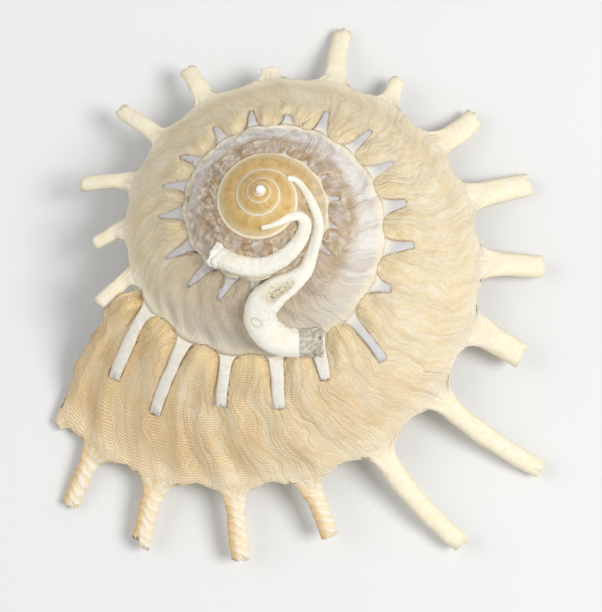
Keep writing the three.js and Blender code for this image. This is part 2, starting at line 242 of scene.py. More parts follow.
# %% [markdown]
# ## Relief of the shell's top
# Rounded tongues swell up between the laid spines, growth left low folds across the whorl, and the third
# whorl is rough where the animal once glued grit to itself. All of it is a small push off the surface,
# worked out from how far each point is from the seam and from the nearest covered edge.

# %% Ripples and covered edges
TONGUE_HEIGHT, TUCK, FAR_EDGE, FAR_CREASE = 1.35, 1.1, 9.0, 5.0


def ripple(u, v, seed, waves=7):
    """Gentle uneven waves, about one per unit, between -1 and 1."""
    rng = np.random.default_rng(seed)
    total = np.zeros(np.broadcast(u, v).shape)
    for turn, size, phase in rng.uniform((0, 0.6, 0), (TURN, 1.5, TURN), (waves, 3)):
        total = total + np.sin(TURN * size * (u * np.cos(turn) + v * np.sin(turn)) + phase)
    return total / math.sqrt(waves) / 1.4


def covered_edge(x, y, angle, across):
    """Millimetres from the flange or laid spine that covers the surface here."""
    radius = flange_radius(angle)
    edge = radius * (across - COVERED * (1 - valley(angle - TURN)))
    for line in LINES[FREE_COUNT:]:
        near = np.abs(angle - TURN - line.angle) < math.radians(35)
        dx, dy = x[near] - line.root[0], y[near] - line.root[1]
        t = (dx * line.plan[0] + dy * line.plan[1]) / (line.length * math.cos(DROOP))
        aside = np.abs(dx * line.side[0] + dy * line.side[1] - line.bend * 4 * t * (1 - t))
        beside = aside - line.width(np.clip(t, 0, 1)) / 2
        beyond = np.maximum(t - 1, 0) * line.length
        gap = np.where(beyond > 0, np.hypot(np.maximum(beside, 0), beyond), beside)
        edge[near] = np.where(t > -0.2, np.minimum(edge[near], gap), edge[near])
    return edge


def top_relief(angle, across, growth, seam, edge):
    """Push off the surface in millimetres."""
    whorls_back = (LIP - angle) / TURN
    size = flange_radius(angle) / 45
    last = 1 - smooth(whorls_back, 0.98, 1.05)
    second = smooth(whorls_back, 0.98, 1.05) * (1 - smooth(whorls_back, 1.9, 2.05))
    third = smooth(whorls_back, 1.45, 2.05) * (1 - smooth(whorls_back, 2.3, 2.6))
    grown = flange_radius(growth) / GROWTH
    tongues = TONGUE_HEIGHT * np.sqrt(size) * smooth(edge, -0.1, 2.4 * size)
    tongues = tongues * (1 - smooth(seam, 3.0, 12 * np.sqrt(size)))
    near_lip = 1 - smooth(whorls_back, 0.05, 0.32)
    folds = ripple(grown / 7.5, seam / 40, 3) * (0.20 + 0.45 * near_lip)
    folds = folds + 0.13 * ripple(grown / 2.6, seam / 12, 5)
    shoulder = -0.5 * size * smooth(across, 0.84, 0.93) * (1 - smooth(across, 0.95, 1.0))
    grit = np.abs(ripple(grown / 4.2, seam / 3.0, 8)) * 0.75 + 0.18 * ripple(grown / 2.0, seam / 1.5, 9)
    veins = ripple(grown / 3.4, seam / 5.0, 11) * 0.45
    damp = smooth(seam, 0.0, 1.5) * (1 - smooth(across, 0.97, 1.0))
    push = last * tongues + (last + 0.7 * second) * folds * damp
    push = push + second * (0.27 * tongues + veins * 0.5 * damp) + third * (grit - 0.3) * damp
    tucked = TUCK * smooth(-edge, 0.35, 1.6)
    return push + (shoulder - tucked) * (last + second)


print("ripple check:", np.round(ripple(np.array([0.0, 1.0]), np.array([0.0, 1.0]), 3), 2))

# %% [markdown]
# ## Rolling the grid
# A flat grid is added with one column for each point of the outline and one row for each step of growth.
# Its points are then rolled up: the rows wind from the tip out to the lip, turn over the lip, and run back
# inside as the wall of the hollow. A hand could not place seventy thousand points evenly, so code moves them.

# %% Grid and rows
WHORL_ROWS = [12, 24, 44, 84, 150, 270, 440]
HOLLOW_ROWS = 46
HOLLOW_BACK = math.radians(190)


def growth_rows():
    start = LIP - TURN * len(WHORL_ROWS)
    rows = [np.linspace(start + TURN * n, start + TURN * (n + 1), count, endpoint=False)
            for n, count in enumerate(WHORL_ROWS)]
    outer = np.concatenate(rows + [[LIP]])
    return outer, LIP - HOLLOW_BACK * np.linspace(0, 1, HOLLOW_ROWS) ** 1.2


OUTER_GROWTH, HOLLOW_GROWTH = growth_rows()
ROWS = len(OUTER_GROWTH) + len(HOLLOW_GROWTH)
POINTS = len(OUTER)


def select_only(*pieces):
    bpy.ops.object.select_all(action="DESELECT")
    for piece in pieces:
        piece.select_set(True)
        bpy.context.view_layer.objects.active = piece


def new_grid(name, columns, rows):
    select_only()
    bpy.ops.mesh.primitive_grid_add(x_subdivisions=columns, y_subdivisions=rows, size=2)
    piece = bpy.context.active_object
    piece.name = name
    piece.data.name = name
    co = np.empty(len(piece.data.vertices) * 3)
    piece.data.vertices.foreach_get("co", co)
    co = co.reshape(-1, 3)
    place = np.rint((co[:, :2] + 1) / 2 * (columns, rows)).astype(int)
    return piece, place[:, 0], place[:, 1]


shell, column, row = new_grid("carrier_shell", POINTS - 1, ROWS - 1)
print("grid points:", len(shell.data.vertices), "rows:", ROWS, "columns:", POINTS)


# %% Places of the rolled rows
def lip_wear(across, growth):
    """The thin lip is chipped: its edge falls back unevenly."""
    bay = 1.6 * smooth(across, 0.70, 0.73) * (1 - smooth(across, 0.78, 0.9))
    chips = 1.1 * np.abs(ripple(across * 9, across * 3, 21))
    chips = chips + 0.5 * np.abs(ripple(across * 26, across * 3, 22))
    return np.radians((bay + chips) * smooth(growth, LIP - math.radians(9), LIP))


def rolled():
    """Place and measures of every grid point, row by row."""
    growth = np.concatenate([OUTER_GROWTH, HOLLOW_GROWTH])[:, None]
    hollow = (np.arange(ROWS) >= len(OUTER_GROWTH))[:, None]
    outline = np.where(hollow[..., None], INNER[None], OUTER[None])
    across, height = outline[..., 0], outline[..., 1]
    angle = growth + np.radians(outline[..., 2]) - lip_wear(across, growth)
    cut = across * (1 - valley(angle) * smooth(across, 0.86, 1.0) * ~hollow)
    height = height + top_height(np.minimum(cut, 1)) - top_height(np.minimum(across, 1))
    across = cut
    place = on_spiral(across, height, angle)
    col = np.arange(POINTS)[None] + 0 * row_number
    top = (col <= TOP_LAST) & ~hollow
    radius = flange_radius(angle)
    seam = np.maximum(across - COVERED, 0) * radius * 1.3
    edge = np.full(across.shape, FAR_EDGE)
    edge[top] = covered_edge(place[top][:, 0], place[top][:, 1], angle[top], across[top])
    push = np.where(top, top_relief(angle, across, growth + 0 * across, seam, edge), 0)
    out = np.stack([-np.cos(angle) * 0.6, np.sin(angle) * 0.6, np.full(angle.shape, 0.8)], -1)
    place = place + out * push[..., None]
    # The last column meets the first one under the older whorl, and each end row is one point.
    place[:, -1] = place[:, 0]
    place[0] = place[0].mean(0)
    place[-1] = place[-1].mean(0)
    under = np.where(top, 0.0, np.clip((col - TOP_LAST) / COLUMNS["rim"], 0, 1))
    under = np.where(hollow, 2.0, under)
    return place, {"growth": angle, "across": across, "seam": seam, "edge": edge, "under": under,
                   "grown": np.broadcast_to(flange_radius(growth) / GROWTH, across.shape)}


row_number = np.arange(ROWS)[:, None]
PLACES, MEASURES = rolled()
print("rolled size, mm:", np.ptp(PLACES.reshape(-1, 3), axis=0).round(1))


# %% Point measures kept on the mesh
def set_measure(piece, name, values):
    data = piece.data.attributes.get(name) or piece.data.attributes.new(name, "FLOAT", "POINT")
    data.data.foreach_set("value", np.ascontiguousarray(values, dtype=np.float32))


def get_measure(piece, name):
    data = piece.data.attributes[name].data
    values = np.empty(len(data), np.float32)
    data.foreach_get("value", values)
    return values


def set_places(piece, places):
    piece.data.vertices.foreach_set("co", np.ascontiguousarray(places, dtype=np.float32).ravel())
    piece.data.update()


def get_places(piece):
    co = np.empty(len(piece.data.vertices) * 3, np.float32)
    piece.data.vertices.foreach_get("co", co)
    return co.reshape(-1, 3).astype(float)


set_places(shell, PLACES[row, column])
for measure, values in MEASURES.items():
    set_measure(shell, measure, values[row, column])
print("measures on the shell:", sorted(MEASURES))

# %% [markdown]
# ## Pulling the spines out of the rim
# A real spine is the flange itself folded into a tube, so it is extruded from the rim's own faces. All the
# spines are pulled together, a step at a time. After each step the new ring of points is drawn in: wide and
# flat at the root, round and narrow along the shaft, then turned in at the tip to leave the hollow end.

# %% Mark the rim faces of each spine
def rim_windows():
    """Spine number, place across and place through the rim for every rim point, and the chosen faces."""
    number = np.full((ROWS, POINTS), -1)
    a, b = np.zeros((ROWS, POINTS)), np.zeros((ROWS, POINTS))
    faces = np.zeros((ROWS, POINTS), bool)
    rim_angle = MEASURES["growth"][: len(OUTER_GROWTH), TOP_LAST + 1]
    through = np.linspace(1, -1, COLUMNS["rim"] + 1)
    for n, line in enumerate(LINES):
        inside = np.flatnonzero(np.abs(rim_angle - line.angle) <= line.half_turn)
        first, last = inside[0], inside[-1]
        span = slice(first, last + 1)
        number[span, TOP_LAST:RIM_LAST + 1] = n
        middle, reach = (rim_angle[first] + rim_angle[last]) / 2, (rim_angle[last] - rim_angle[first]) / 2
        a[span, TOP_LAST:RIM_LAST + 1] = ((rim_angle[span] - middle) / reach)[:, None]
        b[span, TOP_LAST:RIM_LAST + 1] = through[None]
        faces[first:last, TOP_LAST:RIM_LAST] = True
    return number, a, b, faces


NUMBER, ACROSS_RIM, THROUGH_RIM, RIM_FACES = rim_windows()
set_measure(shell, "spine", NUMBER[row, column])
set_measure(shell, "rim_a", ACROSS_RIM[row, column])
set_measure(shell, "rim_b", THROUGH_RIM[row, column])
set_measure(shell, "along", np.zeros(len(row)))
start_place = PLACES[row, column]
for axis, name in enumerate(("rim_x", "rim_y", "rim_z")):
    set_measure(shell, name, start_place[:, axis])


def choose_rim_faces():
    corners = np.empty(len(shell.data.polygons) * 4, np.int32)
    shell.data.polygons.foreach_get("vertices", corners)
    corners = corners.reshape(-1, 4)
    low_row, low_column = row[corners].min(1), column[corners].min(1)
    shell.data.polygons.foreach_set("select", RIM_FACES[low_row, low_column])


bpy.ops.object.mode_set(mode="EDIT")
bpy.ops.mesh.select_mode(type="FACE")
bpy.ops.mesh.select_all(action="DESELECT")
bpy.ops.object.mode_set(mode="OBJECT")
choose_rim_faces()
print("rim faces chosen:", int(RIM_FACES.sum()))

# %% Extrude and shape
STATIONS = 13
SHARES = (np.arange(1, STATIONS + 1) / STATIONS) ** 1.45
WALL, SOCKET, SOCKET_DEPTH = 0.60, 0.5, 3.6
OPEN_FROM, SOCKET_MARK = 5, 30
BROKEN_SPINE = 2


def spine_ring(line, a, b, share, squeeze, seed_row):
    """Places of one spine's ring of points."""
    width = line.width(share) * squeeze
    rim_depth = 0.026 * float(flange_radius(line.angle))
    shaft_depth = (0.66 if not line.laid else 0.30) * line.tip_width + (0.15 if line.laid else 0.1)
    depth = (rim_depth + (shaft_depth - rim_depth) * float(smooth(share * line.length, 0.3, 5.0))) * squeeze
    round_a, round_b = a * np.sqrt(1 - b**2 / 2), b * np.sqrt(1 - a**2 / 2)
    turned = float(smooth(share * line.length, 0.2, 4.0))
    x = (a + (round_a - a) * turned) * width / 2
    z = (b + (round_b - b) * turned) * depth / 2
    ahead = min(share + 0.01, 1.0)
    step = line.centre(np.array([ahead])) - line.centre(np.array([ahead - 0.01]))
    along = step[0] / np.linalg.norm(step[0])
    up = np.cross(line.side, along)
    wobble = 0.13 * ripple(np.full(a.shape, share * line.length / 5.5), a * 0.5 + seed_row, 31)
    chipped = 0.35 * ripple(a * 1.3, b * 1.1 + seed_row, 37) * (share >= 1)
    if seed_row == BROKEN_SPINE and share >= 1:
        chipped = chipped - 2.0 * smooth(a, -0.2, 0.1)
    ragged = chipped[:, None] * along[None]
    centre = line.centre(np.array([share]))[0]
    return centre + line.side * (x + wobble)[:, None] + up * z[:, None] + ragged


def pull_spines(share, squeeze=1.0, depth_back=0.0):
    bpy.ops.object.mode_set(mode="EDIT")
    bpy.ops.mesh.extrude_region_move()
    bpy.ops.object.mode_set(mode="OBJECT")
    chosen = np.empty(len(shell.data.vertices), bool)
    shell.data.vertices.foreach_get("select", chosen)
    places, along = get_places(shell), get_measure(shell, "along")
    number, a, b = (get_measure(shell, name) for name in ("spine", "rim_a", "rim_b"))
    rim = np.stack([get_measure(shell, name) for name in ("rim_x", "rim_y", "rim_z")], -1).astype(float)
    for n, line in enumerate(LINES):
        mine = chosen & (np.rint(number) == n)
        back = min(depth_back / line.length, 0.6)
        open_tip = not line.laid and line.length > OPEN_FROM
        here = share - (back if open_tip else 0)
        ring = spine_ring(line, a[mine], b[mine], here, squeeze, n)
        start = rim[mine] - spine_ring(line, a[mine], b[mine], 0.0, 1.0, n)
        places[mine] = ring + start * float(1 - smooth(here * line.length, 0.0, 3.2))
        along[mine] = here * line.length + (SOCKET_MARK if back and open_tip else 0)
    set_places(shell, places)
    set_measure(shell, "along", along)


for share in SHARES:
    pull_spines(share)
pull_spines(1.0, squeeze=WALL)
pull_spines(1.0, squeeze=SOCKET, depth_back=SOCKET_DEPTH * 0.4)
pull_spines(1.0, squeeze=SOCKET * 0.7, depth_back=SOCKET_DEPTH)
print("points after pulling the spines:", len(shell.data.vertices))

# %% [markdown]
# ## The tip of the spire
# The shell began as a bead smaller than a pinhead. A small ball is set over the pole of the rolled grid,
# flattened a little, and joined to it, so the spire ends in the round white bead that the real one has.

# %% Tip bead
def add_tip_bead():
    select_only()
    bpy.ops.mesh.primitive_uv_sphere_add(segments=32, ring_count=16, radius=APEX_BALL,
                                         location=(0, 0, APEX_BALL_HEIGHT))
    bead = bpy.context.active_object
    bpy.ops.object.mode_set(mode="EDIT")
    bpy.ops.transform.resize(value=(0.72, 0.72, 0.94), center_override=(0, 0, APEX_BALL_HEIGHT + APEX_BALL))
    bpy.ops.object.mode_set(mode="OBJECT")
    bpy.ops.object.transform_apply(location=True, rotation=True, scale=True)
    count = len(bead.data.vertices)
    for name, value in (("growth", float(OUTER_GROWTH[0])), ("across", 0.7), ("seam", 1.0),
                        ("edge", FAR_EDGE), ("grown", 0.0), ("under", 0.0), ("spine", -1.0),
                        ("rim_a", 0.0), ("along", 0.0), ("crease", FAR_CREASE)):
        set_measure(bead, name, np.full(count, value))
    return bead


print("bead radius, mm:", APEX_BALL)


# %% Find the crease where the older flange and spines meet the next whorl
def measure_crease():
    """Millimetres from every point of the top to the nearest older flange edge or laid spine."""
    places, along, number = get_places(shell), get_measure(shell, "along"), get_measure(shell, "spine")
    under, growth, across = (get_measure(shell, name) for name in ("under", "growth", "across"))
    laid = (along > 0.05) & (number > FREE_COUNT - 0.5)
    flange = (under < 0.7) & (across > 0.955) & (growth < LIP - TURN) & (along <= 0)
    covering = np.flatnonzero(laid | flange)
    points = [places[covering]]
    for line in LINES[FREE_COUNT:]:
        t = np.arange(0.05, 1.0, 0.2 / line.length)
        reach = line.side * (line.width(t) * 0.49)[:, None]
        points += [line.centre(t) + reach, line.centre(t) - reach]
    points = np.vstack(points)
    tree = kdtree.KDTree(len(points))
    for n, point in enumerate(points):
        tree.insert(point, n)
    tree.balance()
    crease = np.full(len(places), FAR_CREASE)
    for n in np.flatnonzero((under <= 0) & (across < 0.86) & (along <= 0)):
        crease[n] = tree.find(places[n])[2]
    return crease


set_measure(shell, "crease", measure_crease())
print("points in the crease:", int((get_measure(shell, "crease") < 0.6).sum()))


# %% Close the seams and move the shell into its resting place
def finish_skin(piece, merge_mm):
    """Merge doubled points, turn faces outward, smooth the shading and place the piece."""
    select_only(piece)
    bpy.ops.object.mode_set(mode="EDIT")
    bpy.ops.mesh.select_all(action="SELECT")
    bpy.ops.mesh.remove_doubles(threshold=merge_mm)
    bpy.ops.mesh.normals_make_consistent(inside=False)
    bpy.ops.object.mode_set(mode="OBJECT")
    bpy.ops.object.shade_smooth()
    piece.data.transform(TO_FRAME)
    piece.data.update()


for name in ("rim_x", "rim_y", "rim_z", "rim_b"):
    shell.data.attributes.remove(shell.data.attributes[name])
select_only(add_tip_bead(), shell)
bpy.ops.object.join()
finish_skin(shell, 0.002)
print("shell triangles:", sum(len(p.vertices) - 2 for p in shell.data.polygons))

# %% [markdown]
# ## Worm tubes
# Two worms built chalky tubes on the spire. Each is a flat grid again, rolled round a curved centre line that
# follows the spire: flat beneath where it is cemented down, swollen and dented along its back, with growth
# rings, and a broken rough mouth turned in at its wide end.

# %% Tube centre lines
LONG_TUBE = [(4.9, 3.8, 1.0), (6.6, 3.4, 1.2), (8.2, 1.5, 1.5), (9.5, -0.9, 1.8), (10.4, -3.2, 2.0),
             (10.4, -5.5, 2.2), (9.7, -8.0, 2.4), (8.8, -10.6, 2.7), (7.6, -13.0, 3.2), (5.2, -15.0, 4.2),
             (2.2, -16.8, 5.3), (-0.3, -18.8, 6.0), (-1.2, -21.1, 6.3), (-0.2, -23.3, 6.3), (2.3, -24.6, 6.1),
             (5.1, -24.9, 5.8), (7.8, -24.7, 5.5), (10.2, -24.6, 5.4)]
SHORT_TUBE = [(0.1, -6.4, 0.9), (1.8, -6.0, 1.0), (3.5, -5.3, 1.3), (5.2, -4.3, 1.7), (6.9, -3.7, 2.0),
              (8.0, -4.5, 2.4), (8.0, -6.1, 2.7), (7.0, -8.1, 2.9), (5.4, -9.9, 3.2), (3.3, -11.5, 3.5),
              (0.7, -12.5, 3.7), (-2.2, -12.7, 3.9), (-5.2, -12.0, 4.0), (-7.9, -10.9, 4.1),
              (-10.0, -9.9, 4.3)]
TUBE_RIDE = 0.30


def tube_line(table, steps):
    """Centre, side, up and half width along a tube, in millimetres."""
    path = rounded([(x, y, w) for x, y, w in table], steps)
    x, y, width = path.T
    z = spire_height(x, y)
    z = np.convolve(np.pad(z, 9, "edge"), np.hanning(21)[1:-1] / np.hanning(21)[1:-1].sum(), "valid")
    centre = np.stack([x, y, z + TUBE_RIDE * width], -1)
    along = np.gradient(centre, axis=0)
    along /= np.linalg.norm(along, axis=1)[:, None]
    side = np.cross(along, (0, 0, 1))
    side /= np.linalg.norm(side, axis=1)[:, None]
    return centre, side, np.cross(side, along), along, width / 2


print("tube widths at the mouth, mm:", LONG_TUBE[-1][2], SHORT_TUBE[-1][2])

# %% Roll a tube
TUBE_ROUND = 56
TUBE_POINT = [(0.0, -0.5), (0.45, -0.4), (0.8, -0.15)]
TURNED_IN = [(1.0, 0.25), (0.93, 0.45), (0.82, 0.35), (0.74, -0.1), (0.70, -0.5), (0.62, -0.85),
             (0.3, -1.0), (0.0, -1.0)]
PIT_AT, PIT_REACH, PIT_DEPTH, SPLINTER_REACH = 27.2, 3.2, 1.25, 2.3


def roll_tube(name, table, steps, mouth_depth, seed, shape):
    """A closed tube: point, back, rim of the mouth, and the mouth's floor."""
    centre, side, up, along, half = tube_line(table, steps)
    first = len(TUBE_POINT)
    grow = np.array([g for g, _ in TUBE_POINT] + [1.0] * (steps + 1) + [g for g, _ in TURNED_IN])
    shift = np.array([s * half[0] for _, s in TUBE_POINT] + [0.0] * (steps + 1)
                     + [s * mouth_depth for _, s in TURNED_IN])
    at = np.clip(np.arange(len(grow)) - first, 0, steps)
    piece, place, ring = new_grid(name, TUBE_ROUND, len(grow) - 1)
    turn = np.linspace(0, TURN, TUBE_ROUND + 1)[None]
    length = np.concatenate([[0], np.cumsum(np.linalg.norm(np.diff(centre, axis=0), axis=1))])[at][:, None]
    in_mouth = (np.arange(len(grow)) > steps + first + 2)[:, None]
    outward = np.sign(np.cos(turn)) * np.abs(np.cos(turn)) ** 0.86 + 0 * length
    raised = np.sign(np.sin(turn)) * np.abs(np.sin(turn)) ** 0.86 + 0 * length
    flat = np.where(raised < 0, 0.55, 0.80)
    wide, tall, lift, worn = shape(length, turn)
    lumps = 0.035 * ripple(length / 6.5, np.sin(turn) * 1.5 + np.cos(turn) * 1.1, seed)
    rings = 0.007 * ripple(length / 1.1, np.cos(turn) * 0.8, seed + 1)
    near_mouth = smooth(length, float(length[-1, 0]) - 3.5, float(length[-1, 0]) - 0.8)
    lumps = lumps + 0.14 * near_mouth * ripple(length / 1.5, np.cos(turn) * 1.6 + np.sin(turn), seed + 3)
    lumps = lumps + 0.022 * ripple(length / 1.7, np.cos(turn) * 2.2 + np.sin(turn) * 1.3, seed + 4)
    broken = 0.55 * np.abs(ripple(np.cos(turn) * 1.6, np.sin(turn) * 1.6 + length * 0, seed + 2))
    radius = half[at][:, None] * grow[:, None] * (1 + (lumps + rings) * ~in_mouth)
    pushed = shift[:, None] - broken * (shift[:, None] > 0)
    out = (centre[at][:, None] + along[at][:, None] * pushed[..., None]
           + side[at][:, None] * (radius * outward * wide)[..., None]
           + up[at][:, None] * (radius * raised * flat * tall + lift * ~in_mouth)[..., None])
    out[0], out[-1] = out[0].mean(0), out[-1].mean(0)
    set_places(piece, out[ring, place])
    set_measure(piece, "length", (length + 0 * turn)[ring, place])
    set_measure(piece, "turn", (turn + 0 * length)[ring, place])
    set_measure(piece, "worn", worn[ring, place])
    set_measure(piece, "mouth", (np.arange(len(grow))[:, None] - steps - first + 0 * turn)[ring, place])
    finish_skin(piece, 0.004)
    return piece


def long_tube_shape(length, turn):
    """Sideways and upward swelling, lift in millimetres, and how worn the back is."""
    back = np.exp(-((turn - math.radians(100)) / 0.42) ** 2)
    pit = np.exp(-((length - PIT_AT) / PIT_REACH) ** 4) * back
    sag = np.exp(-((length - 27.5) / 5.0) ** 2)
    return 1 + 0.10 * sag + 0 * turn, 1 - 0.12 * sag + 0 * turn, -PIT_DEPTH * pit, pit


def short_tube_shape(length, turn):
    """A splinter of the broken rim stands out on one side of the mouth."""
    end = float(length[-1, 0])
    around = np.minimum(turn, TURN - turn)
    splinter = np.exp(-((length - end + 0.5) / 0.75) ** 2) * np.exp(-(around / 0.40) ** 2)
    return 1 + SPLINTER_REACH * splinter, 1 + 0 * turn * length, 0.5 * splinter, 0 * turn * length


long_tube = roll_tube("worm_tube_grown_long", LONG_TUBE, 260, 1.5, 51, long_tube_shape)
short_tube = roll_tube("worm_tube_grown_short", SHORT_TUBE, 200, 1.0, 61, short_tube_shape)
print("tube triangles:", [sum(len(p.vertices) - 2 for p in t.data.polygons) for t in (long_tube, short_tube)])

# %% [markdown]
# ## Mixing finishes
# Finishes are written as sums. One small class stands for a value inside a material, and adding, multiplying
# or comparing two of them lays down the nodes that do it. Colours are mixed by a separate method.

# %% Value and finish classes
class Value:
    """A value in a material. Arithmetic on it adds Math nodes."""

    def __init__(self, finish, socket):
        self.finish, self.socket = finish, socket

    def math(self, operation, *values):
        return self.finish.node("ShaderNodeMath", {"operation": operation}, dict(enumerate(values)))

    def __add__(self, other):
        return self.math("ADD", self, other)

    def __sub__(self, other):
        return self.math("SUBTRACT", self, other)

    def __rsub__(self, other):
        return self.math("SUBTRACT", other, self)

    def __mul__(self, other):
        return self.math("MULTIPLY", self, other)

    def __truediv__(self, other):
        return self.math("DIVIDE", self, other)

    def __pow__(self, other):
        return self.math("POWER", self, other)

    def __abs__(self):
        return self.math("ABSOLUTE", self)

    __radd__, __rmul__ = __add__, __mul__

    def wave(self):
        return self.math("SINE", self)

    def ease(self, low, high):
        """0 below low, 1 above high, smooth between."""
        return self.finish.node("ShaderNodeMapRange", {"interpolation_type": "SMOOTHSTEP"},
                                {"Value": self, "From Min": low, "From Max": high})


class Finish:
    """A material for one surface, built on the Principled shader."""

    def __init__(self, name, constants):
        self.material = bpy.data.materials.new(name)
        self.material.use_nodes = True
        self.tree = self.material.node_tree
        self.shader = self.tree.nodes["Principled BSDF"]
        for socket, value in constants.items():
            self.shader.inputs[socket].default_value = value

    def node(self, kind, settings=None, inputs=None, output=0):
        made = self.tree.nodes.new(kind)
        for name, value in (settings or {}).items():
            setattr(made, name, value)
        for key, value in (inputs or {}).items():
            if isinstance(value, Value):
                self.tree.links.new(value.socket, made.inputs[key])
            else:
                made.inputs[key].default_value = value
        return Value(self, made.outputs[output])

    def measure(self, name):
        return self.node("ShaderNodeAttribute", {"attribute_name": name}, output="Fac")

    def position(self):
        return self.node("ShaderNodeTexCoord", output="Object")

    def place(self, x, y=0.0, z=0.0):
        return self.node("ShaderNodeCombineXYZ", {}, {0: x, 1: y, 2: z})

    def cloud(self, place, scale, detail=3.0, roughness=0.5):
        return self.node("ShaderNodeTexNoise", {}, {"Vector": place, "Scale": scale, "Detail": detail,
                                                    "Roughness": roughness})

    def tint(self, colour, other, share):
        colour, other = (c if isinstance(c, Value) else (*c, 1.0) for c in (colour, other))
        return self.node("ShaderNodeMix", {"data_type": "RGBA"}, {0: share, 6: colour, 7: other}, output=2)

    def connect(self, socket, value):
        self.tree.links.new(value.socket, self.shader.inputs[socket])

    def relief(self, height, distance, strength=1.0):
        """Bump in metres of height."""
        bump = self.node("ShaderNodeBump", {}, {"Height": height, "Distance": distance, "Strength": strength})
        self.connect("Normal", bump)


print("finish tools ready")

# %% [markdown]
# ## The shell's finish
# The shell is dull lime. Its colour follows growth: cream with tan bars toward the lip, golden tongues along
# the seam, lilac and brown on the older whorls and honey gold at the tip. Fine raised threads run along every
# whorl. The old spines that the next whorl covered are grey and matte, because the living edge left them.

# %% Shell colours
CREAM, PALE, WHITE = (0.88, 0.77, 0.53), (0.89, 0.83, 0.67), (0.90, 0.88, 0.82)
TAN, GOLD, RUST, BLUSH = (0.76, 0.49, 0.20), (0.89, 0.66, 0.31), (0.42, 0.20, 0.07), (0.60, 0.38, 0.24)
LILAC, LILAC_BROWN, LILAC_WHITE = (0.56, 0.46, 0.38), (0.47, 0.33, 0.19), (0.79, 0.75, 0.70)
STONE_GREY, PALE_GREY, DARK_GREY = (0.60, 0.60, 0.60), (0.76, 0.71, 0.60), (0.44, 0.40, 0.38)
HONEY, HONEY_DARK, SEAM_CREAM = (0.68, 0.46, 0.17), (0.50, 0.29, 0.09), (0.87, 0.79, 0.58)
CREASE_SHADE, SOCKET_SHADE_BROWN, HOLLOW_CREAM = (0.16, 0.075, 0.025), (0.25, 0.16, 0.08), (0.80, 0.66, 0.42)


class ShellMeasures:
    """Where a point is on the shell, in plain terms."""

    def __init__(self, lime):
        self.back = (LIP - lime.measure("growth")) / TURN
        self.share = (lime.measure("across") - COVERED) / (1 - COVERED)
        self.seam, self.edge, self.crease = (lime.measure(name) for name in ("seam", "edge", "crease"))
        self.grown, self.under = lime.measure("grown"), lime.measure("under")
        self.spine, self.side, self.along = (lime.measure(name) for name in ("spine", "rim_a", "along"))
        self.laid = self.spine.ease(FREE_COUNT - 0.7, FREE_COUNT - 0.4)
        self.on_spine = self.along.ease(0.0, 2.6 - 1.9 * self.laid)
        self.last = 1 - self.back.ease(0.98, 1.12)
        self.second = self.back.ease(0.98, 1.12) * (1 - self.back.ease(2.0, 2.3))
        self.honey = self.back.ease(2.25, 2.65)
        self.skin = lime.place(self.grown, self.seam)
        self.top = 1 - self.under.ease(0.3, 0.7)


# %% Threads, bars and grit
def threads(lime, at):
    """Fine raised threads along the whorl, 0 in the grooves and 1 on top."""
    drift = lime.cloud(at.skin, 0.16, 2.0) * 1.5 + lime.cloud(at.skin, 0.5, 1.0) * 0.35
    fine = (at.share * 66 + drift * 3.4) * TURN
    return fine.wave() * 0.5 + 0.5


def growth_bars(lime, at):
    """Bars and folds left by pauses in growth, parallel to the lip."""
    bent = at.grown + lime.cloud(at.skin, 0.12, 2.0) * 9
    return (lime.cloud(lime.place(bent * 0.55, at.seam * 0.03), 1.0, 4.0, 0.6),
            lime.cloud(lime.place(bent * 2.2, at.seam * 0.10), 1.0, 3.0, 0.6))


def grit_ridges(lime, at):
    """Pale wavy ridges round the grit scars of the older whorls."""
    field = lime.cloud(lime.place(at.grown * 0.24, at.seam * 0.26), 1.0, 3.0, 0.6)
    broken = lime.cloud(lime.place(at.grown * 0.33, at.seam * 0.40, 7.0), 1.0, 2.0, 0.5)
    return (1 - abs(field - 0.5).ease(0.0, 0.10)) * broken.ease(0.40, 0.62)


print("pattern makers ready")

# %% Colours by age
def last_whorl_colour(lime, at, thread, bars, fine_bars):
    near_lip = 1 - at.back.ease(0.03, 0.42)
    patches = lime.cloud(at.skin, 0.11, 3.0).ease(0.35, 0.7)
    colour = lime.tint(CREAM, TAN, near_lip * (0.42 + 0.50 * patches) + 0.12 * patches)
    tongue = (1 - at.seam.ease(2.0, 11.0)) * at.edge.ease(0.0, 1.2)
    colour = lime.tint(colour, GOLD, tongue * (0.40 + 0.35 * near_lip))
    # Tan bands and pale bands between them: partly the shell's own growth bands, partly painted shade and
    # painted highlight that make the folds show.
    colour = lime.tint(colour, TAN, bars.ease(0.50, 0.66) * (0.20 + 0.47 * near_lip))
    colour = lime.tint(colour, PALE, (1 - bars.ease(0.34, 0.48)) * (0.60 - 0.35 * near_lip))
    colour = lime.tint(colour, TAN, fine_bars.ease(0.50, 0.62) * (1 - near_lip) * 0.20)
    colour = lime.tint(colour, WHITE, (1 - fine_bars.ease(0.36, 0.48)) * (1 - near_lip) * 0.45)
    colour = lime.tint(colour, BLUSH, patches * fine_bars.ease(0.46, 0.58) * near_lip * 0.40)
    colour = lime.tint(colour, RUST, fine_bars.ease(0.58, 0.70) * near_lip * 0.42)
    colour = lime.tint(colour, PALE, at.share.ease(0.80, 0.98) * (1 - near_lip * 0.6) * 0.75)
    colour = lime.tint(colour, PALE, thread.ease(0.45, 1.0) * (0.18 + 0.20 * near_lip))
    groove = 0.26 + 0.10 * near_lip + 0.12 * at.share.ease(0.5, 0.8)
    return lime.tint(colour, TAN, (1 - thread.ease(0.0, 0.4)) * groove)


